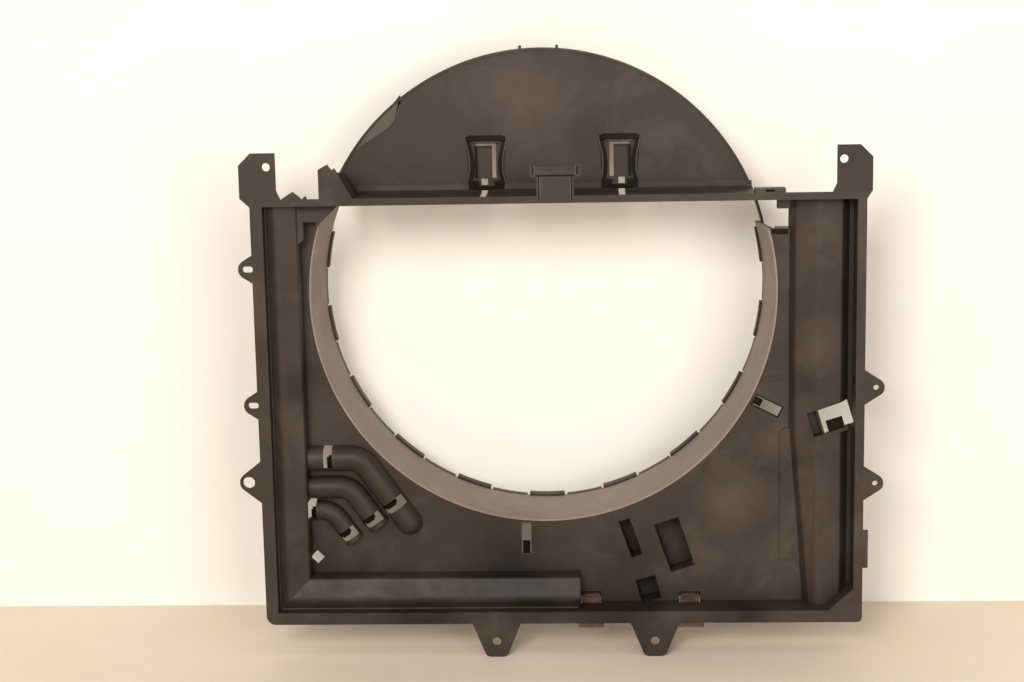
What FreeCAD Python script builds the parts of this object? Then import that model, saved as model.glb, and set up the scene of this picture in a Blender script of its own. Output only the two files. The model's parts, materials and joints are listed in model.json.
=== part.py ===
import FreeCAD, Part
import math
import os
import Sketcher
from types import SimpleNamespace

# Radiator fan shroud: a flanged tray, a D-shaped upper cowl, the fan collar with its castellated lip,
# the bell mouth liner, the sprung latches and hooks, and the small brackets and clips.
#
# X runs along the width, Y from the radiator side back to the engine side, Z up. The origin is the
# middle of the bottom flange strip's front face. Heights in the sheet count from the bottom edge.

SIZES = {
    # mounting flange and the moulding's walls
    "frame_width": 640.0,
    "frame_height": 462.0,
    "flange_skin": 3.0,
    "skin": 2.5,
    "strip": 13.0,
    "right_strip": 9.5,
    "rail_lip": 7.5,
    "corner_radius": 10.0,
    "right_corner_radius": 5.0,
    "corner_cut_width": 26.5,
    "corner_cut_height": 24.0,
    # L-shaped ridge on the left and bottom
    "valley_depth": 14.0,
    "crest_depth": 9.0,
    "crest_offset": 25.0,
    "ridge_edge_depth": 17.0,
    "ridge_width": 46.5,
    "wall_draft": 1.2,
    "ridge_end": 17.0,
    # column on the right
    "column_left": 243.0,
    "column_foot_left": 259.0,
    "column_foot": 6.5,
    "column_foot_depth": 27.0,
    "groove_width": 4.5,
    "column_crest": 272.0,
    "column_crest_depth": 19.0,
    "column_shoulder": 298.0,
    "column_shoulder_depth": 23.0,
    "groove_depth": 31.0,
    "column_step_height": 205.0,
    "plateau_left": 235.0,
    "plateau_rise": 1.5,
    "plateau_foot": 59.0,
    "plateau_top": 205.0,
    # rear panel and fan opening
    "panel_depth": 38.0,
    "panel_right_height": 420.0,
    "fan_x": -17.0,
    "fan_height": 353.0,
    "opening_radius": 249.8,
    "opening_collar": 14.0,
    "throat_radius": 239.5,
    "throat_depth": 106.0,
    "liner_skin": 2.0,
    "mouth_taper": 7.9,
    # castellated lip behind the throat
    "lip_length": 12.0,
    "lip_tooth": 10.0,
    "lip_notch": 0.65,
    "lip_step": 2.5,
    "lip_left_height": 417.0,
    "lip_right_height": 406.0,
    # upper cowl
    "cowl_x": -19.0,
    "cowl_height": 362.0,
    "cowl_radius": 248.0,
    "cowl_depth": 100.0,
    "cowl_rim_length": 22.0,
    "rim_bead": 1.5,
    "cove_radius": 8.0,
    # ears and lugs
    "ear_top": 510.5,
    "ear_chamfer": 12.5,
    "ear_waist": 471.0,
    "ear_foot": 7.5,
    "left_ear_outer": 330.0,
    "left_ear_inner": 291.5,
    "right_ear_outer": 325.5,
    "right_ear_inner": 289.0,
    "ear_hole_height": 496.0,
    "left_ear_hole": 301.0,
    "right_ear_hole": 296.0,
    "ear_hole_radius": 4.3,
    "upper_slot_height": 389.0,
    "lower_slot_height": 243.0,
    "slot_length": 10.8,
    "slot_width": 6.6,
    "slot_lug_reach": 14.5,
    "slot_out": 4.4,
    "slot_lug_base": 15.5,
    "slot_lug_nose": 5.7,
    "slot_lug_radius": 10.0,
    "round_lug_height": 159.0,
    "round_lug_reach": 22.5,
    "round_out": 12.8,
    "round_lug_base": 23.4,
    "round_lug_nose": 5.0,
    "round_lug_radius": 9.7,
    "round_hole_radius": 6.3,
    "upper_screw_height": 256.0,
    "lower_screw_height": 152.7,
    "screw_lug_reach": 20.6,
    "screw_out": 11.8,
    "screw_lug_base": 19.0,
    "screw_lug_nose": 5.1,
    "screw_lug_radius": 8.9,
    "screw_hole_radius": 2.9,
    "foot_left": 71.0,
    "foot_right": 99.5,
    "foot_half_width": 26.5,
    "foot_toe": 11.0,
    "foot_toe_radius": 8.0,
    "foot_length": 37.2,
    "foot_hole_drop": 20.2,
    "foot_hole_radius": 4.8,
    # hose channels, counted from the top
    "hose_tilt": 55.0,
    "hose_bend": 22.0,
    "channel_end": 0.45,
    "hose_a_height": 176.0,
    "hose_a_radius": 14.0,
    "hose_a_bend_x": -216.0,
    "hose_a_run": 88.0,
    "hose_b_height": 144.0,
    "hose_b_radius": 12.5,
    "hose_b_bend_x": -229.0,
    "hose_b_run": 53.0,
    "hose_c_height": 118.5,
    "hose_c_radius": 11.0,
    "hose_c_bend_x": -249.5,
    "hose_c_run": 41.5,
    # latches in the cowl plate and the slots below them
    "left_latch_x": -79.3,
    "right_latch_x": 69.0,
    "latch_root_height": 471.5,
    "latch_width": 17.0,
    "latch_length": 34.5,
    "latch_skin": 1.8,
    "latch_side_gap": 4.3,
    "latch_top_gap": 2.7,
    "latch_hole": 7.0,
    "latch_hole_height": 463.7,
    "latch_bar_height": 458.5,
    "deck_slot_front": 48.0,
    "recess_width": 44.5,
    "recess_waist": 37.0,
    "recess_top": 516.0,
    "recess_bottom": 466.0,
    "recess_depth": 1.0,
    # cowl side wall, ear and end strut
    "wing_left": -247.0,
    "wing_root": -212.0,
    "wing_lean": 15.0,
    "wing_top": 489.0,
    "wing_shift": 5.5,
    "wing_drop": 9.0,
    "cowl_deck_left": -219.0,
    "cowl_deck_right": 209.0,
    "cowl_strut_height": 414.0,
    "peg_spread": 39.6,
    "peg_width": 3.0,
    "peg_height": 3.0,
    # T-shaped bracket on the rail
    "bracket_x": -1.0,
    "bracket_cap_width": 53.0,
    "bracket_cap_height": 8.0,
    "bracket_top": 492.0,
    "bracket_stem_width": 39.0,
    "bracket_depth": 12.0,
    "bracket_post": 2.5,
    # slotted bar on the rail's right end
    "guide_left": 205.0,
    "guide_right": 236.5,
    "guide_height": 4.5,
    "guide_depth": 16.0,
    "guide_slot_left": 216.0,
    "guide_slot_right": 225.0,
    # thin web across the upper left corner
    "gusset_setback": 1.0,
    "gusset_skin": 2.0,
    "gusset_right": -228.0,
    "gusset_foot": 412.0,
    "gusset_notch_left": -267.0,
    "gusset_notch_right": -253.0,
    "gusset_notch_height": 436.0,
    # ledge and block below the rail at the right
    "ledge_left": 230.0,
    "ledge_length": 20.0,
    "block_left": 230.0,
    "block_height": 443.0,
    "block_depth": 22.0,
    "block_length": 12.0,
    # clip on the right edge of the flange
    "edge_clip_height": 60.0,
    "edge_clip_length": 41.0,
    "edge_clip_reach": 5.5,
    "edge_clip_lap": 6.0,
    "edge_clip_skin": 1.0,
    # spring-steel clips over the bottom flange
    "left_clip_x": 30.9,
    "right_clip_x": 138.3,
    "clip_width": 20.0,
    "clip_window_front": 29.0,
    "clip_skin": 1.2,
    "clip_foot_width": 27.0,
    "clip_drop": 5.7,
    "clip_rise": 7.5,
    "clip_box_wall": 1.2,
    "clip_box_depth": 14.0,
    "clip_tongue_depth": 33.0,
    # boxed clip pockets behind the lower right windows
    "pocket_left": 56.0,
    "pocket_right": 150.0,
    "pocket_height": 110.0,
    "pocket_depth": 22.0,
    "pocket_slant": 14.0,
    "pocket_foot": 12.0,
    # snap hooks
    "hook_width": 5.0,
    "hook_skin": 1.8,
    "hook_nose": 2.6,
    "latch_nose": 2.0,
    "hook_play": 0.08,
    "hook_gap": 0.3,
    "hook_aside": 2.6,
    "hose_hook_lap": 3.0,
    "low_hook_width": 8.0,
    "low_hook_length": 15.0,
    "high_hook_width": 8.0,
    "high_hook_length": 9.0,
    "column_hook_width": 18.0,
    "column_hook_length": 13.0,
    "column_hook_depth": 25.5,
    "column_hook_aside": 3.0,
    "column_pocket": 9.5,
    "column_pocket_front": 24.0,
    "column_pocket_depth": 11.0,
}

# Windows: middle x, middle height, length, width, and the angle of the length from the X axis
WINDOWS = {
    "hose_a_window": (-251.5, 178.5, 23.4, 9.5, 90.0),
    "hose_c_window": (-271.0, 120.5, 21.4, 10.0, 90.0),
    "bend_a_window": (-181.0, 125.0, 26.0, 12.0, 35.0),
    "bend_b_window": (-205.0, 108.0, 22.0, 12.0, 35.0),
    "bend_c_window": (-232.0, 92.0, 20.0, 12.0, 35.0),
    "low_window": (-38.5, 84.5, 34.0, 10.2, 90.0),
    "high_window": (221.6, 229.1, 30.0, 11.0, -27.0),
    "column_window": (287.5, 218.0, 45.0, 27.0, 17.0),
    "slot_window": (74.5, 84.0, 41.0, 10.5, -71.0),
    "wide_window": (122.0, 76.0, 54.0, 25.0, -71.5),
    "foot_window": (93.5, 26.5, 24.0, 19.5, -75.0),
    "square_window": (-267.5, 64.8, 11.0, 11.0, 45.0),
    "left_clip_window": (30.9, 17.0, 21.5, 14.0, 0.0),
    "right_clip_window": (138.3, 16.5, 22.6, 13.0, 0.0),
}
for window, values in WINDOWS.items():
    for part, number in zip(("x", "height", "length", "width", "angle"), values):
        SIZES["%s_%s" % (window, part)] = number


class Dim:
    """A size that knows its number and the expression that gives it in the sheet."""

    def __init__(self, value, text=None):
        self.value = float(value)
        self.text = text if text is not None else repr(float(value))

    def _join(self, other, sign, value):
        return Dim(value, "(%s %s %s)" % (self.text, sign, as_dim(other).text))

    def __add__(self, other):
        return self._join(other, "+", self.value + as_dim(other).value)

    def __sub__(self, other):
        return self._join(other, "-", self.value - as_dim(other).value)

    def __mul__(self, other):
        return self._join(other, "*", self.value * as_dim(other).value)

    def __truediv__(self, other):
        return self._join(other, "/", self.value / as_dim(other).value)

    def __radd__(self, other):
        return as_dim(other) + self

    def __rsub__(self, other):
        return as_dim(other) - self

    def __rmul__(self, other):
        return as_dim(other) * self

    def __neg__(self):
        return Dim(-self.value, "(-1 * %s)" % self.text)


def as_dim(number):
    return number if isinstance(number, Dim) else Dim(number)


def cosine(angle):
    return Dim(math.cos(math.radians(angle.value)), "cos(%s)" % angle.text)


def sine(angle):
    return Dim(math.sin(math.radians(angle.value)), "sin(%s)" % angle.text)



doc = FreeCAD.newDocument("fan_shroud")
sheet = doc.addObject("Spreadsheet::Sheet", "Sizes")
for row, (alias, number) in enumerate(SIZES.items(), start=1):
    sheet.set("A%d" % row, alias)
    sheet.set("B%d" % row, str(number))
    sheet.setAlias("B%d" % row, alias)
doc.recompute()
s = SimpleNamespace(**{name: Dim(number, "Sizes." + name) for name, number in SIZES.items()})

# Values that several pieces share
half = s.frame_width / 2
origin_drop = s.strip / 2
panel_back = s.panel_depth + s.skin
deck_under = s.frame_height - s.rail_lip
deck_top = deck_under + s.skin
rail_step = s.rail_lip - s.skin
ridge_inner = s.ridge_width - half
ridge_foot = ridge_inner + s.wall_draft
column_wall = half - s.right_strip
collar_front = s.panel_depth + s.opening_collar
lip_back = s.throat_depth + s.lip_length
cowl_back = s.cowl_depth + s.skin


# ---------------------------------------------------------------- helpers

def bind(thing, prop, dim):
    thing.setExpression(prop, as_dim(dim).text)


def make_body(label, x=0.0, height=0.0):
    """A body whose origin stands at x and at a height above the frame's bottom edge."""
    body = doc.addObject("PartDesign::Body", label)
    body.Label = label
    bind(body, "Placement.Base.x", as_dim(x))
    bind(body, "Placement.Base.z", as_dim(height) - origin_drop)
    return body


PLANE_SIGNS = {"XY_Plane": 1, "XZ_Plane": -1, "YZ_Plane": 1}


def make_sketch(body, plane, offset=0.0):
    """A sketch on one of the body's planes, moved along the global axis that it faces."""
    sketch = body.newObject("Sketcher::SketchObject", "sketch")
    base = [item for item in body.Origin.OriginFeatures if item.Role == plane][0]
    sketch.AttachmentSupport = [(base, "")]
    sketch.MapMode = "FlatFace"
    bind(sketch, "AttachmentOffset.Base.z", as_dim(offset) * PLANE_SIGNS[plane])
    return sketch


def pin(sketch, geometry, point, x, y):
    """Hold a point of a sketch at x, y."""
    for kind, dim in (("DistanceX", x), ("DistanceY", y)):
        index = sketch.addConstraint(Sketcher.Constraint(kind, -1, 1, geometry, point, dim.value))
        bind(sketch, "Constraints[%d]" % index, dim)


def set_radius(sketch, geometry, radius):
    index = sketch.addConstraint(Sketcher.Constraint("Radius", geometry, radius.value))
    bind(sketch, "Constraints[%d]" % index, radius)


def vector(x, y):
    return FreeCAD.Vector(as_dim(x).value, as_dim(y).value, 0)


def add_circle(sketch, x, y, radius):
    circle = sketch.addGeometry(Part.Circle(vector(x, y), FreeCAD.Vector(0, 0, 1), radius.value), False)
    set_radius(sketch, circle, radius)
    pin(sketch, circle, 3, as_dim(x), as_dim(y))


def corner_arc(before, corner, after, radius):
    """The tangent arc that rounds a corner: its two ends and its middle."""
    to_before = (before - corner).normalize()
    to_after = (after - corner).normalize()
    half_angle = to_before.getAngle(to_after) / 2
    reach = radius / math.tan(half_angle)
    middle_line = (to_before + to_after).normalize()
    centre = corner + middle_line * (radius / math.sin(half_angle))
    return corner + to_before * reach, centre - middle_line * radius, corner + to_after * reach


def add_outline(sketch, corners, closed=True):
    """A loop of straight lines whose corners are x, y or x, y, rounding radius."""
    points = [vector(corner[0], corner[1]) for corner in corners]
    count = len(corners)
    starts, ends, arcs = {}, {}, {}
    for i, corner in enumerate(corners):
        starts[i] = ends[i] = points[i]
        if len(corner) == 3:
            before, after = points[i - 1], points[(i + 1) % count]
            first, middle, last = corner_arc(before, points[i], after, as_dim(corner[2]).value)
            left_turn = (points[i] - before).cross(after - points[i]).z > 0
            curve = Part.Arc(first, middle, last) if left_turn else Part.Arc(last, middle, first)
            arcs[i] = sketch.addGeometry(curve, False)
            starts[i], ends[i] = last, first
    lines = {}
    for i in range(count if closed else count - 1):
        line = Part.LineSegment(starts[i], ends[(i + 1) % count])
        lines[i] = sketch.addGeometry(line, False)
    for i, corner in enumerate(corners):
        x, y = as_dim(corner[0]), as_dim(corner[1])
        before, after = lines.get((i - 1) % count), lines.get(i)
        if not closed and i == 0:
            before = None
        if i in arcs:
            round_corner(sketch, arcs[i], before, after, points[i], x, y, as_dim(corner[2]))
            continue
        if before is not None and after is not None:
            sketch.addConstraint(Sketcher.Constraint("Coincident", before, 2, after, 1))
        if after is not None:
            pin(sketch, after, 1, x, y)
        else:
            pin(sketch, before, 2, x, y)
    return lines


def round_corner(sketch, arc, before, after, point, x, y, radius):
    """Tie a rounding arc to its two lines and to the sharp corner that they meet at."""
    starts_first = (sketch.Geometry[arc].StartPoint - sketch.Geometry[before].EndPoint).Length < 1e-6
    first, last = (1, 2) if starts_first else (2, 1)
    sketch.addConstraint(Sketcher.Constraint("Tangent", before, 2, arc, first))
    sketch.addConstraint(Sketcher.Constraint("Tangent", arc, last, after, 1))
    set_radius(sketch, arc, radius)
    sharp = sketch.addGeometry(Part.Point(point), True)
    pin(sketch, sharp, 1, x, y)
    sketch.addConstraint(Sketcher.Constraint("PointOnObject", sharp, 1, before))
    sketch.addConstraint(Sketcher.Constraint("PointOnObject", sharp, 1, after))


def box_corners(left, right, low, high):
    return [(left, low), (right, low), (right, high), (left, high)]


def tilted_box(x, y, length, width, angle):
    """Corners of a box centred on x, y, with its length turned by an angle from the X axis."""
    along = (cosine(angle) * length / 2, sine(angle) * length / 2)
    across = (sine(angle) * width / -2, cosine(angle) * width / 2)
    signs = ((-1, -1), (1, -1), (1, 1), (-1, 1))
    return [(x + a * along[0] + b * across[0], y + a * along[1] + b * across[1]) for a, b in signs]


def pad(body, sketch, length, backwards=False):
    feature = body.newObject("PartDesign::Pad", "pad")
    feature.Profile = sketch
    feature.Reversed = backwards
    bind(feature, "Length", length)
    return feature


def plate(body, front, thickness, *outlines):
    """Pad one or more outlines in the XZ plane from a depth towards the engine side."""
    sketch = make_sketch(body, "XZ_Plane", front)
    for corners in outlines:
        add_outline(sketch, corners)
    return pad(body, sketch, thickness, backwards=True)


def cut(body, sketch, length=None, backwards=False):
    """Pocket a sketch right through, or to a length."""
    feature = body.newObject("PartDesign::Pocket", "pocket")
    feature.Profile = sketch
    if length is None:
        feature.Type = "ThroughAll"
        feature.Midplane = True
    else:
        feature.Reversed = backwards
        bind(feature, "Length", length)
    return feature


def cut_plate(body, front, depth, *outlines):
    """Cut outlines in the XZ plane from a depth towards the engine side."""
    sketch = make_sketch(body, "XZ_Plane", front)
    for corners in outlines:
        add_outline(sketch, corners)
    return cut(body, sketch, depth)


def revolve(body, sketch, angle=360.0, midplane=False):
    """Turn a sketch on the YZ plane about the body's Y axis."""
    feature = body.newObject("PartDesign::Revolution", "revolution")
    feature.Profile = sketch
    feature.ReferenceAxis = (sketch, ["H_Axis"])
    feature.Midplane = midplane
    bind(feature, "Angle", angle)
    return feature


def window_size(name):
    """Middle, length, width and angle of a window, from the sheet."""
    return [getattr(s, "%s_%s" % (name, part)) for part in ("x", "height", "length", "width", "angle")]


def window_outline(name):
    return tilted_box(*window_size(name))


def turned_sketch(body, x, height, angle):
    """A sketch across an axis that runs at an angle in the XZ plane through x, height."""
    sketch = make_sketch(body, "YZ_Plane", x)
    turn = FreeCAD.Rotation(FreeCAD.Vector(1, 0, 0), -angle.value)
    sketch.AttachmentOffset = FreeCAD.Placement(FreeCAD.Vector(), turn)
    bind(sketch, "AttachmentOffset.Rotation.Angle", -angle)
    bind(sketch, "AttachmentOffset.Base.y", height)
    bind(sketch, "AttachmentOffset.Base.z", as_dim(x))
    return sketch


def symmetric_pad(body, sketch, length):
    feature = pad(body, sketch, length)
    feature.Midplane = True
    return feature


# ---------------------------------------------------------------- where the hooks are rooted

HOOKS = []
barrel = s.hook_skin / 2
panel_hook_depth = s.panel_depth + s.skin / 2


def place_hook(label, x, height, direction, reach, shift, width, length, depth):
    """Root a hook at a reach behind x, height, opposite to the way its arm points."""
    HOOKS.append(SimpleNamespace(
        label=label,
        x=x - cosine(direction) * reach - sine(direction) * shift,
        height=height - sine(direction) * reach + cosine(direction) * shift,
        axis=direction - 90,
        width=as_dim(width),
        length=length,
        depth=depth,
    ))


def place_hose_hook(label, x, height, direction, radius, shift):
    """A hook across the open back of a hose channel, rooted at the channel's lower edge."""
    bore = radius - s.skin
    length = bore + barrel + s.hose_hook_lap
    place_hook(label, x, height, direction, bore + barrel, shift, s.hook_width, length, panel_hook_depth)


def place_window_hook(label, window, direction, extent, width, length, depth, shift=0.0):
    """A hook across a window, rooted at one of its edges."""
    x, height = window_size(window)[:2]
    place_hook(label, x, height, direction, extent / 2 + barrel, shift, width, length, depth)


up = as_dim(90.0)
place_hose_hook("hose_hook_a", s.hose_a_window_x, s.hose_a_height, up, s.hose_a_radius, -s.hook_aside)
place_hose_hook("hose_hook_b", s.hose_c_window_x, s.hose_c_height, up, s.hose_c_radius, -s.hook_aside)
for label, bend_window, bore_radius in (
    ("hose_hook_c", "bend_a_window", s.hose_a_radius),
    ("hose_hook_d", "bend_b_window", s.hose_b_radius),
    ("hose_hook_e", "bend_c_window", s.hose_c_radius),
):
    bend_x, bend_height, _, _, bend_angle = window_size(bend_window)
    place_hose_hook(label, bend_x, bend_height, bend_angle, bore_radius, s.hook_aside)
place_window_hook("low_cable_hook", "low_window", s.low_window_angle, s.low_window_length,
                  s.low_hook_width, s.low_hook_length, panel_hook_depth)
place_window_hook("high_cable_hook", "high_window", s.high_window_angle, s.high_window_length,
                  s.high_hook_width, s.high_hook_length, panel_hook_depth)
place_window_hook("column_cable_hook", "column_window", s.column_window_angle + 90, s.column_window_width,
                  s.column_hook_width, s.column_hook_length, s.column_hook_depth, -s.column_hook_aside)


# ---------------------------------------------------------------- tray

def add_frame(body):
    """The flat mounting flange with its rounded corners and the cut corner at the lower right."""
    outside = [(-half, 0, s.corner_radius), (half, 0, s.right_corner_radius),
               (half, s.frame_height), (-half, s.frame_height)]
    inside = [(s.strip - half, s.strip), (column_wall - s.corner_cut_width, s.strip),
              (column_wall, s.strip + s.corner_cut_height), (column_wall, s.frame_height - s.rail_lip),
              (s.strip - half, s.frame_height - s.rail_lip)]
    plate(body, 0.0, s.flange_skin, outside, inside)


def ear_outline(side, outer, inner):
    """An ear above the rail; side is -1 at the left and 1 at the right."""
    foot = s.frame_height - s.ear_foot
    return [(half * side, foot), (outer * side, s.ear_waist - s.rail_lip),
            (outer * side, s.ear_top - s.ear_chamfer), ((outer - s.ear_chamfer) * side, s.ear_top),
            (inner * side, s.ear_top), (inner * side, s.ear_waist), ((inner - s.ear_foot) * side, foot)]


def lug_outline(side, height, reach, base, nose, radius):
    """A lug with a round nose; side is -1 at the left and 1 at the right."""
    edge = (half - 1) * side
    tip = (half + reach) * side
    return [(edge, height - base), (tip, height - nose, radius),
            (tip, height + nose, radius), (edge, height + base)]


def foot_outline(x):
    """One of the two fixing tabs below the bottom edge."""
    toe = s.foot_toe
    wide = s.foot_half_width
    drop = -s.foot_length
    return [(x - wide, 1.0), (x - toe, drop, s.foot_toe_radius), (x + toe, drop, s.foot_toe_radius), (x + wide, 1.0)]


def add_lugs(body):
    """The two ears above the rail, the lugs along the sides and the two feet."""
    outlines = [ear_outline(-1, s.left_ear_outer, s.left_ear_inner),
                ear_outline(1, s.right_ear_outer, s.right_ear_inner)]
    for height in (s.upper_slot_height, s.lower_slot_height):
        outlines.append(lug_outline(-1, height, s.slot_lug_reach, s.slot_lug_base,
                                    s.slot_lug_nose, s.slot_lug_radius))
    outlines.append(lug_outline(-1, s.round_lug_height, s.round_lug_reach, s.round_lug_base,
                                s.round_lug_nose, s.round_lug_radius))
    for height in (s.upper_screw_height, s.lower_screw_height):
        outlines.append(lug_outline(1, height, s.screw_lug_reach, s.screw_lug_base,
                                    s.screw_lug_nose, s.screw_lug_radius))
    for x in (-s.foot_left, s.foot_right):
        outlines.append(foot_outline(x))
    plate(body, 0.0, s.flange_skin, *outlines)


def add_holes(body):
    """The fixing holes: ears, slots and round holes in the lugs, and the two feet."""
    sketch = make_sketch(body, "XZ_Plane")
    add_circle(sketch, -s.left_ear_hole, s.ear_hole_height, s.ear_hole_radius)
    add_circle(sketch, s.right_ear_hole, s.ear_hole_height, s.ear_hole_radius)
    add_circle(sketch, -half - s.round_out, s.round_lug_height, s.round_hole_radius)
    add_circle(sketch, half + s.screw_out, s.upper_screw_height, s.screw_hole_radius)
    add_circle(sketch, half + s.screw_out, s.lower_screw_height, s.screw_hole_radius)
    add_circle(sketch, -s.foot_left, -s.foot_hole_drop, s.foot_hole_radius)
    add_circle(sketch, s.foot_right, -s.foot_hole_drop, s.foot_hole_radius)
    for height in (s.upper_slot_height, s.lower_slot_height):
        slot = tilted_box(-half - s.slot_out, height, s.slot_length, s.slot_width, as_dim(0))
        add_outline(sketch, [(x, z, s.slot_width * 0.45) for x, z in slot])
    cut(body, sketch)


def ridge_profile(across, sign):
    """The ridge in section: outer surface from the flange to the panel, and back along the inside.

    across is where the flange's edge lies and sign turns inwards from it.
    """
    def at(reach, *rest):
        return (across + reach * sign, *rest)
    skin = s.skin
    return [at(s.strip, 0), at(s.strip, s.valley_depth, 1.5), at(s.crest_offset, s.crest_depth, 9.0),
            at(s.ridge_width, s.ridge_edge_depth, 3.0), at(s.ridge_width + s.wall_draft, panel_back),
            at(s.ridge_width + s.wall_draft - skin, panel_back),
            at(s.ridge_width - skin, s.ridge_edge_depth + skin, 1.0), at(s.crest_offset, s.crest_depth + skin, 7.0),
            at(s.strip, s.valley_depth + skin * 1.4, 3.0), at(s.strip - skin, s.valley_depth + skin), at(s.strip - skin, 0)]


def add_ridge(body):
    """The convex ridge: down the left side, round the corner and along the bottom to its end wall."""
    profile = make_sketch(body, "XY_Plane", deck_under)
    add_outline(profile, ridge_profile(-half, 1))
    path = make_sketch(body, "XZ_Plane")
    add_outline(path, [(-half, deck_under), (-half, 0), (s.ridge_end, 0)], closed=False)
    ridge = body.newObject("PartDesign::AdditivePipe", "ridge")
    ridge.Profile = profile
    ridge.Spine = (path, ["Edge1", "Edge2"])
    ridge.Transition = "Right corner"
    end = make_sketch(body, "YZ_Plane", s.ridge_end)
    height = s.ridge_width + s.wall_draft
    add_outline(end, [(0, s.strip - s.skin), (0, s.strip), (s.valley_depth, s.strip),
                      (s.crest_depth, s.crest_offset, 9.0), (s.ridge_edge_depth, s.ridge_width, 3.0),
                      (panel_back, height), (panel_back, s.strip - s.skin)])
    pad(body, end, s.skin)


def column_profile(left):
    """The right-hand column in section, from its foot on the panel to the flange."""
    skin = s.skin
    shoulder = s.groove_depth
    return [(left, panel_back), (left + s.column_foot, s.column_foot_depth, 4.0),
            (s.column_crest, s.column_crest_depth, 12.0), (s.column_shoulder, s.column_shoulder_depth, 4.0),
            (column_wall - s.groove_width, shoulder), (column_wall, shoulder), (column_wall, 0),
            (column_wall + skin, 0), (column_wall + skin, shoulder + skin),
            (column_wall - s.groove_width - skin * 0.4, shoulder + skin),
            (s.column_shoulder - 1, s.column_shoulder_depth + skin, 4.0),
            (s.column_crest, s.column_crest_depth + skin, 12.0),
            (left + s.column_foot + skin * 0.7, s.column_foot_depth + skin * 0.8, 3.0), (left + skin, panel_back)]


def add_column(body):
    """The column: even above the step, and narrowing towards the bottom below it."""
    sections = []
    for height, left in ((deck_under, s.column_left), (s.column_step_height, s.column_left),
                         (s.strip, s.column_foot_left)):
        sketch = make_sketch(body, "XY_Plane", height)
        add_outline(sketch, column_profile(left))
        sections.append(sketch)
    column = body.newObject("PartDesign::AdditiveLoft", "column")
    column.Profile = sections[0]
    column.Sections = sections[1:]
    column.Ruled = True
    corner = make_sketch(body, "XZ_Plane", 0.0)
    low = s.strip
    add_outline(corner, [(column_wall - s.corner_cut_width, low), (column_wall + s.skin, low),
                         (column_wall + s.skin, low + s.corner_cut_height), (column_wall, low + s.corner_cut_height)])
    pad(body, corner, panel_back, backwards=True)


def add_panel(body):
    """The flat rear panel with the fan opening and its short collar, and the raised strip by the column."""
    right = s.column_left + s.column_foot
    fan = s.fan_x
    plate(body, s.panel_depth, s.skin, [
        (ridge_foot - s.skin, s.ridge_width), (s.ridge_end, s.ridge_width), (s.ridge_end, s.strip - s.skin),
        (s.column_foot_left + s.skin, s.strip - s.skin), (s.column_foot_left + s.skin, s.strip),
        (right, s.column_step_height), (right, s.panel_right_height),
        (fan, s.panel_right_height), (fan, deck_under), (ridge_foot - s.skin, deck_under)])
    ring = make_sketch(body, "XZ_Plane", s.panel_depth)
    add_circle(ring, fan, s.fan_height, s.opening_radius + s.skin)
    pad(body, ring, s.opening_collar, backwards=True)
    opening = make_sketch(body, "XZ_Plane", s.panel_depth - 1)
    add_circle(opening, fan, s.fan_height, s.opening_radius)
    cut(body, opening, s.opening_collar + 2)
    top = s.panel_right_height
    cut_plate(body, s.panel_depth - 1, s.opening_collar + 2, [
        (-half, deck_under), (fan, deck_under), (fan, top), (right - s.column_foot * 2, top),
        (right - s.column_foot * 2, s.ear_top), (half, s.ear_top), (half, s.frame_height * 2), (-half, s.frame_height * 2)])
    bottom = make_sketch(body, "XZ_Plane", 0.0)
    add_outline(bottom, box_corners(s.ridge_end, column_wall + s.skin, s.strip - s.skin, s.strip))
    pad(body, bottom, panel_back, backwards=True)
    plate(body, s.panel_depth - s.plateau_rise, s.plateau_rise, [
        (s.plateau_left, s.plateau_foot, 3.0), (s.column_foot_left + s.skin, s.plateau_foot),
        (s.column_left + s.column_foot, s.plateau_top), (s.plateau_left, s.plateau_top, 8.0)])


def add_rail(body):
    """The rail's roof, flush with the underside of its lip, and the ledge and block at its right end."""
    roof = make_sketch(body, "XY_Plane", deck_under)
    add_outline(roof, box_corners(s.strip - s.skin - half, column_wall + s.skin, 0, panel_back))
    pad(body, roof, s.skin)
    plate(body, s.panel_depth, s.ledge_length, box_corners(
        s.ledge_left, s.column_left + s.skin, s.panel_right_height - s.skin, s.panel_right_height))
    plate(body, s.block_depth, s.block_length, box_corners(
        s.block_left, s.column_left, s.block_height, deck_under + s.skin / 2))


def add_channel(body, height, radius, bend_x, run, domed, hollow):
    """A half-round hose channel that runs along the panel and bends down, or the hollow behind it."""
    kind = "Subtractive" if hollow else "Additive"
    start = ridge_foot - s.skin * (2 if hollow else 0.5)
    if hollow:
        radius = radius - s.skin
        run = run + radius * s.channel_end if domed else run - s.skin
    back = panel_back + 1 if hollow else s.panel_depth + s.skin / 2
    front = s.panel_depth - radius
    profile = make_sketch(body, "YZ_Plane", start)
    add_dee(profile, front, back, radius, height)
    path = make_sketch(body, "XZ_Plane", s.panel_depth)
    end_x = bend_x + cosine(s.hose_tilt) * run
    end_height = height - sine(s.hose_tilt) * run
    add_outline(path, [(start, height), (bend_x, height, s.hose_bend), (end_x, end_height)], closed=False)
    pipe = body.newObject("PartDesign::%sPipe" % kind, "channel")
    pipe.Profile = profile
    pipe.Spine = (path, ["Edge1", "Edge2", "Edge3"])
    if hollow or not domed:
        return
    dome = make_sketch(body, "YZ_Plane", end_x)
    bind(dome, "AttachmentOffset.Base.y", end_height)
    add_quarter(dome, front, back, radius)
    cap = body.newObject("PartDesign::Revolution", "dome")
    cap.Profile = dome
    cap.ReferenceAxis = (dome, ["H_Axis"])
    cap.Angle = 360.0


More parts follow.
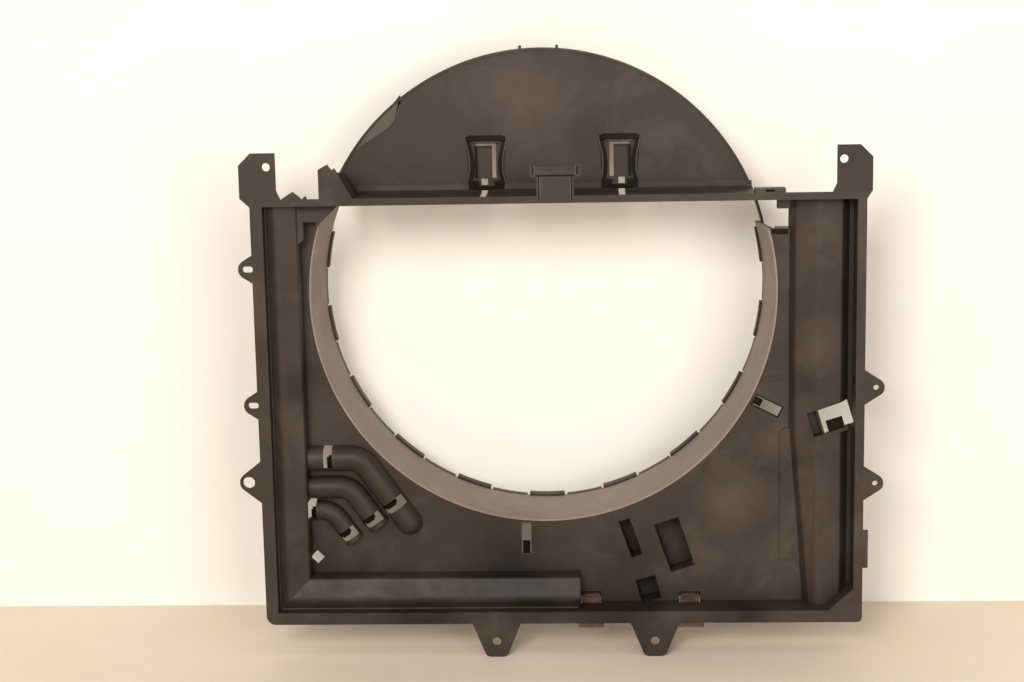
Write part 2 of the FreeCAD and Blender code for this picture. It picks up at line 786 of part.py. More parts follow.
def add_dee(sketch, front, back, radius, height):
    """Half a disc that bulges forwards, with a straight part back to a depth."""
    middle = s.panel_depth
    top, bottom = vector(middle, height + radius), vector(middle, height - radius)
    curve = sketch.addGeometry(Part.Arc(top, vector(front, height), bottom), False)
    corners = [(middle, height + radius), (back, height + radius), (back, height - radius), (middle, height - radius)]
    lines = add_outline(sketch, corners, closed=False)
    sketch.addConstraint(Sketcher.Constraint("Coincident", curve, 1, lines[0], 1))
    sketch.addConstraint(Sketcher.Constraint("Coincident", curve, 2, lines[2], 2))
    index = sketch.addConstraint(Sketcher.Constraint("DistanceX", -1, 1, curve, 3, middle.value))
    bind(sketch, "Constraints[%d]" % index, middle)


def add_quarter(sketch, front, back, radius):
    """A quarter disc whose revolution about the sketch's level axis is a dome with a straight skirt."""
    middle = s.panel_depth
    diagonal = math.sqrt(0.5) * radius.value
    mid_point = FreeCAD.Vector(middle.value - diagonal, diagonal, 0)
    curve = sketch.addGeometry(Part.Arc(vector(middle, radius), mid_point, vector(front, 0)), False)
    corners = [(middle, radius), (back, radius), (back, 0), (front, 0)]
    lines = add_outline(sketch, corners, closed=False)
    sketch.addConstraint(Sketcher.Constraint("Coincident", curve, 1, lines[0], 1))
    sketch.addConstraint(Sketcher.Constraint("Coincident", curve, 2, lines[2], 2))
    set_radius(sketch, curve, radius)


def add_sockets(body):
    """The half-round seat behind each hook's root, open at the back for the arm to swing."""
    for hook in HOOKS:
        radius = barrel + s.hook_play
        top = barrel * 2 + s.hook_gap * 2
        seat = turned_sketch(body, hook.x, hook.height, hook.axis)
        add_seat(seat, hook.depth, barrel + s.hook_play, barrel * 2 + s.hook_gap * 2)
        symmetric_cut(body, seat, hook.width + s.hook_gap * 2)


def add_seat(sketch, depth, radius, top):
    """A half-round bowl below the sketch's origin, with a mouth above it that is open to the back."""
    left, right = vector(depth - radius, 0), vector(depth + radius, 0)
    curve = sketch.addGeometry(Part.Arc(left, vector(depth, -radius), right), False)
    back = depth + s.skin * 2
    corners = [(depth + radius, 0.0), (back, 0.0), (back, top), (depth - radius, top), (depth - radius, 0.0)]
    lines = add_outline(sketch, corners, closed=False)
    sketch.addConstraint(Sketcher.Constraint("Coincident", curve, 1, lines[3], 2))
    sketch.addConstraint(Sketcher.Constraint("Coincident", curve, 2, lines[0], 1))
    index = sketch.addConstraint(Sketcher.Constraint("DistanceY", -1, 1, curve, 3, 0.0))
    bind(sketch, "Constraints[%d]" % index, as_dim(0.0))


def symmetric_cut(body, sketch, length):
    feature = cut(body, sketch, length)
    feature.Midplane = True
    return feature


def add_column_boss(body):
    """The lug behind the column's window that carries the hook's root."""
    x, height, _, width, angle = window_size("column_window")
    reach = width / 2 + barrel * 2
    aside = s.column_hook_aside
    boss = tilted_box(x + sine(angle) * reach + cosine(angle) * aside,
                      height - cosine(angle) * reach + sine(angle) * aside,
                      s.column_hook_width + s.skin * 2, barrel * 4, angle)
    plate(body, s.column_hook_depth - barrel * 3.4, barrel * 5, boss)


def add_column_pocket(body):
    """The blind pocket behind the inner end of the column's window."""
    x, height, length, width, angle = window_size("column_window")
    reach = (length - s.column_pocket) / 2
    middle_x, middle_height = x - cosine(angle) * reach, height - sine(angle) * reach
    deep = s.column_pocket_depth
    plate(body, s.column_pocket_front, deep, tilted_box(
        middle_x, middle_height, s.column_pocket + s.skin * 2, width + s.skin * 2, angle))
    cut_plate(body, s.column_crest_depth, s.column_pocket_front - s.column_crest_depth + deep - s.skin, tilted_box(
        middle_x, middle_height, s.column_pocket, width, angle))


tray = make_body("tray")
add_frame(tray)
add_lugs(tray)
add_holes(tray)
add_ridge(tray)
add_column(tray)
add_panel(tray)
add_rail(tray)
CHANNELS = [
    (s.hose_a_height, s.hose_a_radius, s.hose_a_bend_x, s.hose_a_run, True),
    (s.hose_b_height, s.hose_b_radius, s.hose_b_bend_x, s.hose_b_run, False),
    (s.hose_c_height, s.hose_c_radius, s.hose_c_bend_x, s.hose_c_run, False),
]
for hollow in (False, True):
    for channel in CHANNELS:
        add_channel(tray, *channel, hollow)
PANEL_WINDOWS = ["hose_a_window", "hose_c_window", "bend_a_window", "bend_b_window", "bend_c_window",
                 "low_window", "high_window", "slot_window", "wide_window", "foot_window", "square_window"]
window_front = s.ridge_edge_depth + s.skin
cut_plate(tray, window_front, s.panel_depth, *[window_outline(name) for name in PANEL_WINDOWS])
cut_plate(tray, s.flange_skin, s.ridge_edge_depth * 2, window_outline("column_window"))
cut_plate(tray, s.clip_window_front, s.panel_depth, window_outline("left_clip_window"),
          window_outline("right_clip_window"))
add_column_boss(tray)
add_column_pocket(tray)
add_sockets(tray)
cut_plate(tray, -s.edge_clip_skin, s.edge_clip_skin * 2, box_corners(
    half - s.edge_clip_lap, half + s.skin, s.edge_clip_height, s.edge_clip_height + s.edge_clip_length))


# ---------------------------------------------------------------- fan collar and bell mouth

def cut_ring_top(body, front, left_height, right_height):
    """Take away what stands above one height at the left and another at the right."""
    wide = s.opening_radius * 1.2
    sketch = make_sketch(body, "XZ_Plane", front)
    left, right = left_height - s.fan_height, right_height - s.fan_height
    add_outline(sketch, [(-wide, left), (0, left), (0, right), (wide, right), (wide, wide), (-wide, wide)])
    cut(body, sketch, s.lip_length + s.throat_depth)


def ring_radius(depth):
    """The liner's outer radius at a depth: a gentle cone that ends at the throat."""
    taper = s.mouth_taper / (s.throat_depth - s.panel_depth)
    return s.throat_radius + s.liner_skin + taper * (s.throat_depth - depth)


def round_pattern(body, feature, count):
    """Repeat a feature evenly about the body's Y axis."""
    pattern = body.newObject("PartDesign::PolarPattern", "pattern")
    pattern.Originals = [feature]
    pattern.Axis = ([item for item in body.Origin.OriginFeatures if item.Role == "Y_Axis"][0], [""])
    pattern.Angle = 360.0
    pattern.Occurrences = count
    body.Tip = pattern


def add_teeth(body, inner, turn):
    """Every second tooth of the castellated lip, from its inner radius outwards."""
    tooth = turned_sketch(body, 0.0, as_dim(0.0), turn)
    add_outline(tooth, box_corners(s.throat_depth, lip_back, inner, s.throat_radius + s.lip_step))
    segment = revolve(body, tooth, s.lip_tooth - s.lip_notch, midplane=True)
    round_pattern(body, segment, round(180 / s.lip_tooth.value))


mouth = make_body("bell_mouth", s.fan_x, s.fan_height)
liner = make_sketch(mouth, "YZ_Plane")
add_outline(liner, [
    (s.panel_depth, ring_radius(s.panel_depth) - s.liner_skin), (s.throat_depth, s.throat_radius),
    (s.throat_depth, s.throat_radius + s.liner_skin), (s.panel_depth, ring_radius(s.panel_depth))])
revolve(mouth, liner)
cut_ring_top(mouth, 0.0, deck_under, s.panel_right_height)

collar = make_body("fan_collar", s.fan_x, s.fan_height)
wall = make_sketch(collar, "YZ_Plane")
add_outline(wall, [
    (collar_front, ring_radius(collar_front)), (collar_front, s.opening_radius + s.skin),
    (collar_front + s.skin, s.opening_radius + s.skin), (collar_front + s.skin, ring_radius(collar_front) + s.skin),
    (s.throat_depth + s.skin, s.throat_radius + s.liner_skin + s.skin),
    (s.throat_depth + s.skin, s.throat_radius), (s.throat_depth, s.throat_radius),
    (s.throat_depth, s.throat_radius + s.liner_skin)])
revolve(collar, wall)
add_teeth(collar, s.throat_radius - s.lip_step, as_dim(0.0))
add_teeth(collar, s.throat_radius, s.lip_tooth)
cut_ring_top(collar, 0.0, deck_under, s.panel_right_height)
cut_ring_top(collar, s.throat_depth + s.skin, s.lip_left_height, s.lip_right_height)


# ---------------------------------------------------------------- upper cowl

def arc_plate(body, front, thickness, radii):
    """Rings or a disc about the cowl's centre, from a depth towards the engine side."""
    sketch = make_sketch(body, "XZ_Plane", front)
    for radius in radii:
        add_circle(sketch, s.cowl_x, s.cowl_height, radius)
    pad(body, sketch, thickness, backwards=True)


cowl = make_body("upper_cowl")
wide = s.cowl_radius + s.corner_radius
rim_front = s.cowl_depth - s.rim_bead
arc_plate(cowl, s.cowl_depth, s.skin, [s.cowl_radius])
cut_plate(cowl, 0.0, s.frame_height, box_corners(s.cowl_x - wide, s.cowl_x + wide, 0.0, deck_under))
arc_plate(cowl, rim_front, s.cowl_rim_length, [s.cowl_radius, s.cowl_radius - s.skin])
cut_plate(cowl, 0.0, s.frame_height, [
    (s.cowl_x - wide, 0.0), (s.cowl_x + wide, 0.0), (s.cowl_x + wide, s.cowl_strut_height),
    (s.cowl_x, s.cowl_strut_height), (s.cowl_x, deck_under), (s.cowl_x - wide, deck_under)])
deck = make_sketch(cowl, "XY_Plane", deck_under)
add_outline(deck, [(s.wing_root - s.skin, panel_back), (s.cowl_deck_right, panel_back),
                   (s.cowl_deck_right, cowl_back), (s.cowl_deck_left, cowl_back)])
pad(cowl, deck, s.skin)
cove = make_sketch(cowl, "YZ_Plane", s.cowl_deck_left)
add_outline(cove, [(s.cowl_depth, deck_top), (s.cowl_depth, deck_top + s.cove_radius),
                   (s.cowl_depth - s.cove_radius * 0.3, deck_top + s.cove_radius * 0.3),
                   (s.cowl_depth - s.cove_radius, deck_top)])
pad(cowl, cove, s.cowl_deck_right - s.cowl_deck_left)


def wing_section(depth, shift, drop):
    """The slanted side wall in section at a depth."""
    root_x = s.wing_root - shift
    top_x = root_x - s.wing_lean
    sketch = make_sketch(cowl, "XZ_Plane", depth)
    add_outline(sketch, [(root_x - s.skin, deck_top), (root_x, deck_top),
                         (top_x, s.wing_top - drop), (top_x - s.skin, s.wing_top - drop)])
    return sketch


wing = cowl.newObject("PartDesign::AdditiveLoft", "wing")
wing.Profile = wing_section(s.flange_skin, as_dim(0.0), as_dim(0.0))
wing.Sections = [wing_section(s.cowl_depth, s.wing_shift, s.wing_drop)]
wing.Ruled = True
plate(cowl, 0.0, s.flange_skin, [
    (s.wing_left, s.frame_height), (s.wing_root, s.frame_height), (s.wing_root - s.wing_lean, s.wing_top),
    (s.wing_root - s.wing_lean * 1.2, s.wing_top + 5), (s.wing_root - s.wing_lean * 1.4, s.wing_top + 3),
    (s.wing_left + s.wing_lean * 0.65, s.wing_top + 9), (s.wing_left, s.wing_top + 3.5)])
pegs = [box_corners(s.cowl_x + side * s.peg_spread / 2 - s.peg_width / 2,
                    s.cowl_x + side * s.peg_spread / 2 + s.peg_width / 2,
                    s.cowl_height + s.cowl_radius - s.peg_height, s.cowl_height + s.cowl_radius + s.peg_height)
        for side in (-1, 1)]
plate(cowl, rim_front, s.peg_width * 2, *pegs)


def latch_opening(x, side):
    """The gap round a latch: wider on the side towards the middle."""
    outer = x - s.latch_width / 2 * side - s.hook_gap * side
    inner = x + s.latch_width / 2 * side + s.latch_side_gap * side
    top = s.latch_root_height + s.latch_length + s.latch_top_gap
    return [(outer, s.latch_root_height), (inner, s.latch_root_height), (inner, top), (outer, top)]


def recess_outline(x, side):
    """The shallow field round a latch, waisted towards the deck."""
    middle = x + s.latch_side_gap / 2 * side
    wide, waist = s.recess_width / 2, s.recess_waist / 2
    return [(middle - waist, s.recess_bottom), (middle + waist, s.recess_bottom),
            (middle + wide, s.recess_top), (middle - wide, s.recess_top)]


latches = ((s.left_latch_x, 1), (s.right_latch_x, -1))
cut_plate(cowl, s.cowl_depth - 1, s.recess_depth + 1, *[recess_outline(*latch) for latch in latches])
cut_plate(cowl, s.cowl_depth - s.skin, s.skin * 3, *[latch_opening(*latch) for latch in latches])
cut_plate(cowl, s.cowl_depth - s.cove_radius * 2, s.cowl_depth, *[
    box_corners(x - s.latch_hole / 2, x + s.latch_hole / 2, s.latch_hole_height, s.latch_root_height)
    for x, _ in latches])
latch_depth = s.cowl_depth + s.recess_depth + (s.skin - s.recess_depth) / 2
cut_plate(cowl, s.deck_slot_front, s.cowl_depth, *[
    box_corners(x - s.latch_hole / 2, x + s.latch_hole / 2, deck_under - 1, s.latch_bar_height) for x, _ in latches])
for x, _ in latches:
    seat = turned_sketch(cowl, x, s.latch_root_height, as_dim(0.0))
    add_circle(seat, latch_depth, as_dim(0.0), s.latch_skin / 2 + s.hook_play)
    symmetric_cut(cowl, seat, s.latch_width + s.hook_gap * 2)


# ---------------------------------------------------------------- brackets, clips and web

bracket = make_body("top_bracket", s.bracket_x, s.frame_height)
stem_top = s.bracket_top - s.bracket_cap_height - s.frame_height
cap_top = s.bracket_top - s.frame_height
stem, cap = s.bracket_stem_width / 2, s.bracket_cap_width / 2
post = s.bracket_post
plate(bracket, 0.0, s.skin, [
    (-stem, 0.0), (stem, 0.0), (stem, stem_top), (cap, stem_top), (cap, cap_top + post),
    (cap - post, cap_top + post), (cap - post, cap_top), (post - cap, cap_top), (post - cap, cap_top + post),
    (-cap, cap_top + post), (-cap, stem_top), (-stem, stem_top)])
ribs = [box_corners(-stem, s.skin - stem, 0.0, stem_top), box_corners(stem - s.skin, stem, 0.0, stem_top)]
plate(bracket, 0.0, s.bracket_depth, *ribs)
feet = [box_corners(-stem, s.skin - stem, -rail_step, 0.0), box_corners(stem - s.skin, stem, -rail_step, 0.0)]
plate(bracket, s.flange_skin, s.bracket_depth - s.flange_skin, *feet)
plate(bracket, 0.0, s.bracket_depth, box_corners(-cap, cap, stem_top - s.skin, stem_top))

guide = make_body("rail_guide", 0.0, s.frame_height)
plate(guide, 0.0, s.guide_depth, box_corners(s.guide_left, s.guide_right, 0.0, s.guide_height))
plate(guide, s.flange_skin, s.guide_depth - s.flange_skin, box_corners(
    s.guide_left, s.guide_right, -rail_step, 0.0))
cut_plate(guide, -1.0, s.guide_depth + 2, box_corners(
    s.guide_slot_left, s.guide_slot_right, s.guide_height * 0.2, s.guide_height * 0.75))

gusset = make_body("corner_gusset")
gusset_front = s.ridge_edge_depth + s.gusset_setback
gusset_left = ridge_inner + s.wall_draft * (s.gusset_setback + s.gusset_skin) / (panel_back - s.ridge_edge_depth)
slope = (deck_under - s.gusset_foot) / (s.gusset_right - gusset_left)
plate(gusset, gusset_front, s.gusset_skin, [
    (gusset_left, deck_under), (gusset_left, s.gusset_foot),
    (s.gusset_notch_left, s.gusset_foot + slope * (s.gusset_notch_left - gusset_left)),
    (s.gusset_notch_left, s.gusset_notch_height), (s.gusset_notch_right, s.gusset_notch_height),
    (s.gusset_notch_right, s.gusset_foot + slope * (s.gusset_notch_right - gusset_left)),
    (s.gusset_right, deck_under)])

edge_clip = make_body("side_clip")
grip = make_sketch(edge_clip, "XY_Plane", s.edge_clip_height)
lap, out, leaf = half - s.edge_clip_lap, half + s.edge_clip_reach, s.edge_clip_skin
add_outline(grip, [(lap, 0.0), (out, 0.0, leaf * 1.5), (out, s.flange_skin + leaf, leaf * 1.5),
                   (lap, s.flange_skin + leaf), (lap, s.flange_skin), (half, s.flange_skin), (half, leaf), (lap, leaf)])
pad(edge_clip, grip, s.edge_clip_length)

steel = make_body("flange_clips")


def add_steel_clip(window):
    """A strip folded round the bottom flange and shelf, with its tongue in the window."""
    x, _, length, width, _ = window_size(window)
    leaf = s.clip_skin
    front, under, back = s.flange_skin, s.strip - s.skin, panel_back
    upper, tongue = s.strip + s.clip_rise, s.clip_tongue_depth
    strip = make_sketch(steel, "YZ_Plane", x)
    add_outline(strip, [
        (front, -s.clip_drop), (front, under), (back, under), (back, upper), (tongue, upper),
        (tongue, upper + leaf), (back + leaf, upper + leaf, leaf * 1.5), (back + leaf, under - leaf, leaf * 1.5),
        (front + leaf, under - leaf, leaf * 1.5), (front + leaf, -s.clip_drop)])
    symmetric_pad(steel, strip, s.clip_width)
    foot = make_sketch(steel, "YZ_Plane", x)
    add_outline(foot, box_corners(front, front + leaf, -s.clip_drop, -s.clip_drop * 0.2))
    symmetric_pad(steel, foot, s.clip_foot_width)


add_steel_clip("left_clip_window")
add_steel_clip("right_clip_window")

pockets = make_body("clip_pocket")
plate(pockets, panel_back, s.pocket_depth, [
    (s.pocket_left, s.pocket_height), (s.pocket_right - s.pocket_slant, s.pocket_height),
    (s.pocket_right, s.pocket_height - s.pocket_slant * 3), (s.pocket_right - s.pocket_slant * 2.4, s.pocket_foot),
    (s.pocket_left + s.pocket_slant * 1.2, s.pocket_foot), (s.pocket_left, s.pocket_height / 2)])
cut_plate(pockets, panel_back - 1, s.pocket_depth + 1 - s.skin, *[
    window_outline(name) for name in ("slot_window", "wide_window", "foot_window")])
for window in ("left_clip_window", "right_clip_window"):
    x, height, length, width, _ = window_size(window)
    left, right, top = x - length / 2, x + length / 2, height + width / 2
    wall, low = s.clip_box_wall, s.strip + s.hook_gap
    plate(pockets, panel_back, s.clip_box_depth, box_corners(left - wall, right + wall, low, top + wall))
    cut_plate(pockets, panel_back - 1, s.clip_box_depth + 1 - wall, box_corners(left, right, low - 1, top))


# ---------------------------------------------------------------- hooks and latches that flex

def flexing_body(label, x, height, depth, turn):
    """A body at the line that a tongue flexes about, with Z along the tongue."""
    body = make_body(label, x, height)
    bind(body, "Placement.Base.y", depth)
    body.Placement = FreeCAD.Placement(body.Placement.Base, FreeCAD.Rotation(FreeCAD.Vector(0, 1, 0), -turn.value))
    bind(body, "Placement.Rotation.Angle", -turn)
    return body


def add_tongue(body, width, length, thickness, nose):
    """A tongue with a round root and a barbed tip that points to the front."""
    near = thickness / 2
    root_sketch = make_sketch(body, "YZ_Plane")
    add_circle(root_sketch, 0.0, as_dim(0.0), near)
    symmetric_pad(body, root_sketch, width)
    arm = make_sketch(body, "YZ_Plane")
    add_outline(arm, [(near, 0.0), (near, length), (-near, length), (-near - nose, length - nose * 0.4),
                      (-near - nose, length - nose * 0.8), (-near, length - nose * 1.2), (-near, 0.0)])
    symmetric_pad(body, arm, width)


for hook in HOOKS:
    body = flexing_body(hook.label, hook.x, hook.height, hook.depth, hook.axis)
    add_tongue(body, hook.width, hook.length, s.hook_skin, s.hook_nose)

for label, x in (("left_latch", s.left_latch_x), ("right_latch", s.right_latch_x)):
    body = flexing_body(label, x, s.latch_root_height, latch_depth, as_dim(0.0))
    add_tongue(body, s.latch_width, s.latch_length, s.latch_skin, s.latch_nose)


# ---------------------------------------------------------------- checks and files

doc.recompute()
for thing in doc.Objects:
    if "Invalid" in thing.State or "Error" in thing.State:
        raise RuntimeError("%s failed: %s" % (thing.Label, thing.State))
bodies = [thing for thing in doc.Objects if thing.TypeId == "PartDesign::Body"]
os.makedirs("parts", exist_ok=True)
for body in bodies:
    shape = body.Shape
    if shape.isNull() or not shape.isValid() or shape.Volume <= 0:
        raise RuntimeError("%s has no sound solid" % body.Label)
    print("%-18s %2d solid %11.1f mm3" % (body.Label, len(shape.Solids), shape.Volume))
for body in bodies:
    body.Shape.exportStep("parts/%s.step" % body.Label)
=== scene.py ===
"""Looks of the radiator fan shroud: materials, moulded details, stage, light and camera."""
import json
import math

import bmesh
import bpy
from mathutils import Matrix, Vector


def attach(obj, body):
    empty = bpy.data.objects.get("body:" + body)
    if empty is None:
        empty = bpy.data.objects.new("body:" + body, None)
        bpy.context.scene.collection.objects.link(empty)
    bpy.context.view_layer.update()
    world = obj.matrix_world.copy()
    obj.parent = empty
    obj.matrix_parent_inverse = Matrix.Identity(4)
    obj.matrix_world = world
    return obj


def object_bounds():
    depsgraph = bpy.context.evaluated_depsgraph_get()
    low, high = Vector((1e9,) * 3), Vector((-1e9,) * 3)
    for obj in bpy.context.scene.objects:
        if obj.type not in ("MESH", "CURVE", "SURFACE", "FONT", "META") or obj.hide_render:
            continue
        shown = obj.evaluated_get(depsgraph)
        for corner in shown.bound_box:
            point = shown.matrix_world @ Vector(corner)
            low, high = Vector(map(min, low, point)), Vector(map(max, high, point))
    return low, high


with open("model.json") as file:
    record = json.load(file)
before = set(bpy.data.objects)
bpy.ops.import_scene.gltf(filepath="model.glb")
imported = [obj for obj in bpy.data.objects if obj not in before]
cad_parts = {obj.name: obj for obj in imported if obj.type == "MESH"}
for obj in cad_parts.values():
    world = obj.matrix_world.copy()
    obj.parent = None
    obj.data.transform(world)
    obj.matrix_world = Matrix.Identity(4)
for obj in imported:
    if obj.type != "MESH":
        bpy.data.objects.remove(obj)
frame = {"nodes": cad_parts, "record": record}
cad_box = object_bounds()

MM = 0.001
ORIGIN_DROP = 6.5  # the frame's origin stands this far above the flange's bottom edge, in mm


def place(x, y, height):
    """A point given in mm, with its height from the flange's bottom edge, in metres."""
    return Vector((x * MM, y * MM, (height - ORIGIN_DROP) * MM))


# ---------------------------------------------------------------- node materials

MIX_FACTOR, MIX_A, MIX_B, MIX_RESULT = 0, 6, 7, 2  # a colour Mix node's sockets


class Nodes:
    """A short way to write a node material."""

    def __init__(self, name):
        self.material = bpy.data.materials.new(name)
        self.material.use_nodes = True
        self.tree = self.material.node_tree
        self.tree.nodes.clear()
        self.output = self.tree.nodes.new("ShaderNodeOutputMaterial")
        self.shader = self.tree.nodes.new("ShaderNodeBsdfPrincipled")
        self.link(self.shader.outputs[0], self.output.inputs["Surface"])
        self.coordinates = self.tree.nodes.new("ShaderNodeTexCoord").outputs["Object"]

    def link(self, source, target):
        self.tree.links.new(source, target)

    def put(self, target, value):
        """Links a socket to an input, or sets the input to a plain value."""
        if isinstance(value, bpy.types.NodeSocket):
            self.link(value, target)
        else:
            target.default_value = value

    def scaled(self, scale, turn):
        """The object's coordinates, turned and stretched."""
        node = self.tree.nodes.new("ShaderNodeMapping")
        self.link(self.coordinates, node.inputs["Vector"])
        node.inputs["Scale"].default_value = scale
        node.inputs["Rotation"].default_value = turn
        return node.outputs[0]

    def noise(self, scale, detail=4.0, roughness=0.55, vector=None, distortion=0.0):
        node = self.tree.nodes.new("ShaderNodeTexNoise")
        self.link(vector or self.coordinates, node.inputs["Vector"])
        node.inputs["Scale"].default_value = scale
        node.inputs["Detail"].default_value = detail
        node.inputs["Roughness"].default_value = roughness
        node.inputs["Distortion"].default_value = distortion
        return node.outputs["Fac"]

    def ramp(self, value, stops):
        """A colour ramp whose stops are (position, grey level)."""
        node = self.tree.nodes.new("ShaderNodeValToRGB")
        self.link(value, node.inputs[0])
        elements = node.color_ramp.elements
        for element, (position, level) in zip(elements, stops):
            element.position = position
            element.color = (level, level, level, 1)
        return node.outputs[0]

    def math(self, operation, a, b=0.0, clamp=False):
        node = self.tree.nodes.new("ShaderNodeMath")
        node.operation = operation
        node.use_clamp = clamp
        self.put(node.inputs[0], a)
        self.put(node.inputs[1], b)
        return node.outputs[0]

    def mix(self, factor, a, b):
        node = self.tree.nodes.new("ShaderNodeMix")
        node.data_type = "RGBA"
        self.put(node.inputs[MIX_FACTOR], factor)
        self.put(node.inputs[MIX_A], (*a, 1) if isinstance(a, tuple) else a)
        self.put(node.inputs[MIX_B], (*b, 1) if isinstance(b, tuple) else b)
        return node.outputs[MIX_RESULT]

    def spot(self, centre, reach):
        """1 at a point of the object, given in mm, fading to 0 at a ragged reach round it."""
        node = self.tree.nodes.new("ShaderNodeVectorMath")
        node.operation = "DISTANCE"
        self.link(self.coordinates, node.inputs[0])
        node.inputs[1].default_value = place(*centre)
        ragged = self.math("MULTIPLY", self.noise(16.0, 4.0, 0.65), 0.9)
        distance = self.math("DIVIDE", node.outputs["Value"], reach * MM)
        return self.ramp(self.math("ADD", distance, ragged), [(0.45, 1.0), (1.0, 0.0)])

    def occlusion(self, distance):
        """How open a spot is, from 0 in a tight corner to 1 on an open face: the painted shade in corners
        follows it.
        """
        node = self.tree.nodes.new("ShaderNodeAmbientOcclusion")
        node.samples = 6
        node.inputs["Distance"].default_value = distance
        return node.outputs["AO"]

    def bump(self, height, strength, distance):
        node = self.tree.nodes.new("ShaderNodeBump")
        node.inputs["Strength"].default_value = strength
        node.inputs["Distance"].default_value = distance
        self.link(height, node.inputs["Height"])
        self.link(node.outputs[0], self.shader.inputs["Normal"])


# each spot is its centre (x, y, height) and its reach, in mm
# painted shade: darker patches, most of them along the bottom flange, the bottom ridge and the left
# column
SHADE_SPOTS = [
    ((-60, 40, 55), 130), ((-255, 20, 60), 90), ((60, 0, 6), 150), ((-160, 0, 6), 120),
    ((-270, 15, 260), 70), ((-150, 0, 2), 90), ((200, 0, 2), 90), ((-40, 20, 12), 80),
]
# pale patches: a painted highlight on the right column's crest, and paler patches on the right panel and
# the cowl's top
PALE_AND_HIGHLIGHT_SPOTS = [
    ((190, 38, 130), 95), ((272, 19, 300), 70), ((230, 38, 190), 70), ((-40, 100, 545), 130),
]
SHADE_SPOT_TONE, SHADE_SPOT_SHARE = 0.35, 0.85
PALE_SPOT_TONE, PALE_SPOT_SHARE = 1.7, 0.7


def shade(tone, colour):
    return tuple(tone * channel for channel in colour)


def mottled(n, dark, light, dust, dusty):
    """A cloudy tone between dark and light, with dust in patches."""
    cloud = n.ramp(n.noise(6.0, 5.0, 0.6), [(0.32, 0.0), (0.72, 1.0)])
    colour = n.mix(cloud, dark, light)
    film = n.ramp(n.noise(14.0, 8.0, 0.7, distortion=0.6), [(0.5, 0.0), (0.85, 1.0)])
    return n.mix(n.math("MULTIPLY", film, dusty), colour, dust)


def spotted(n, colour, spots, tone, share):
    """The colour with a tone laid over it at each spot."""
    for centre, reach in spots:
        colour = n.mix(n.math("MULTIPLY", n.spot(centre, reach), share), colour, tone)
    return colour


def scratched(n, colour, light):
    """The colour with fine pale scratches in some places."""
    upright = n.noise(30.0, 3.0, 0.5, n.scaled((18.0, 18.0, 1.2), (0.1, 0.35, 0.2)))
    slanted = n.noise(26.0, 3.0, 0.5, n.scaled((1.3, 14.0, 20.0), (0.2, 0.6, 0.1)))
    lines = n.math("MAXIMUM", n.ramp(upright, [(0.7, 0.0), (0.76, 1.0)]),
                   n.ramp(slanted, [(0.71, 0.0), (0.77, 1.0)]))
    where = n.ramp(n.noise(5.0, 2.0), [(0.5, 0.0), (0.68, 1.0)])
    scratch = n.math("MULTIPLY", lines, where)
    pale = tuple(min(1.0, channel) for channel in shade(2.6, light))
    return n.mix(n.math("MULTIPLY", scratch, 0.35), colour, pale)


def corner_shaded(n, colour, dark):
    """The colour darkened in its corners and creases: painted shade."""
    openness = n.ramp(n.occlusion(0.035), [(0.18, 0.0), (0.78, 1.0)])
    patches = n.ramp(n.noise(40.0, 4.0, 0.6), [(0.2, 0.55), (0.7, 0.9)])
    corner_shade = n.math("MULTIPLY", n.math("SUBTRACT", 1.0, openness), patches)
    return n.mix(corner_shade, colour, shade(0.3, dark))


def plastic(name, dark, light, dust, dusty=0.5, shine=0.2):
    """Scuffed moulded plastic: mottled colour, dust, spots of painted shade and highlight, fine
    scratches, painted shade in its corners and a light grain.
    """
    n = Nodes(name)
    colour = mottled(n, dark, light, dust, dusty)
    # painted shade at the dark spots
    colour = spotted(n, colour, SHADE_SPOTS, shade(SHADE_SPOT_TONE, dark), SHADE_SPOT_SHARE)
    # painted highlight on the right column's crest, with other pale patches
    colour = spotted(n, colour, PALE_AND_HIGHLIGHT_SPOTS, shade(PALE_SPOT_TONE, light), PALE_SPOT_SHARE)
    colour = scratched(n, colour, light)
    # darkening in corners and creases, from ambient occlusion: painted shade
    colour = corner_shaded(n, colour, dark)
    n.link(colour, n.shader.inputs["Base Color"])
    rough = n.ramp(n.noise(22.0, 6.0, 0.65), [(0.3, 0.42), (0.75, 0.62)])
    n.link(rough, n.shader.inputs["Roughness"])
    n.shader.inputs["Specular IOR Level"].default_value = shine
    grain = n.math("MULTIPLY", n.noise(900.0, 2.0, 0.5), 0.25)
    n.bump(n.math("ADD", grain, n.noise(18.0, 2.0, 0.5)), 0.25, 0.0008)
    return n.material


def rusty_steel():
    """Spring steel with patchy rust."""
    n = Nodes("rusty_spring_steel")
    patch = n.ramp(n.noise(90.0, 6.0, 0.7, distortion=0.5), [(0.36, 0.0), (0.6, 1.0)])
    rust = n.mix(n.noise(320.0, 4.0), (0.045, 0.018, 0.007), (0.13, 0.055, 0.022))
    steel = n.mix(n.noise(150.0, 3.0), (0.022, 0.018, 0.015), (0.055, 0.045, 0.038))
    n.link(n.mix(patch, steel, rust), n.shader.inputs["Base Color"])
    n.link(n.ramp(patch, [(0.0, 0.35), (1.0, 0.85)]), n.shader.inputs["Roughness"])
    n.link(n.math("SUBTRACT", 0.8, patch, clamp=True), n.shader.inputs["Metallic"])
    n.bump(n.noise(700.0, 5.0, 0.7), 0.5, 0.0004)
    return n.material


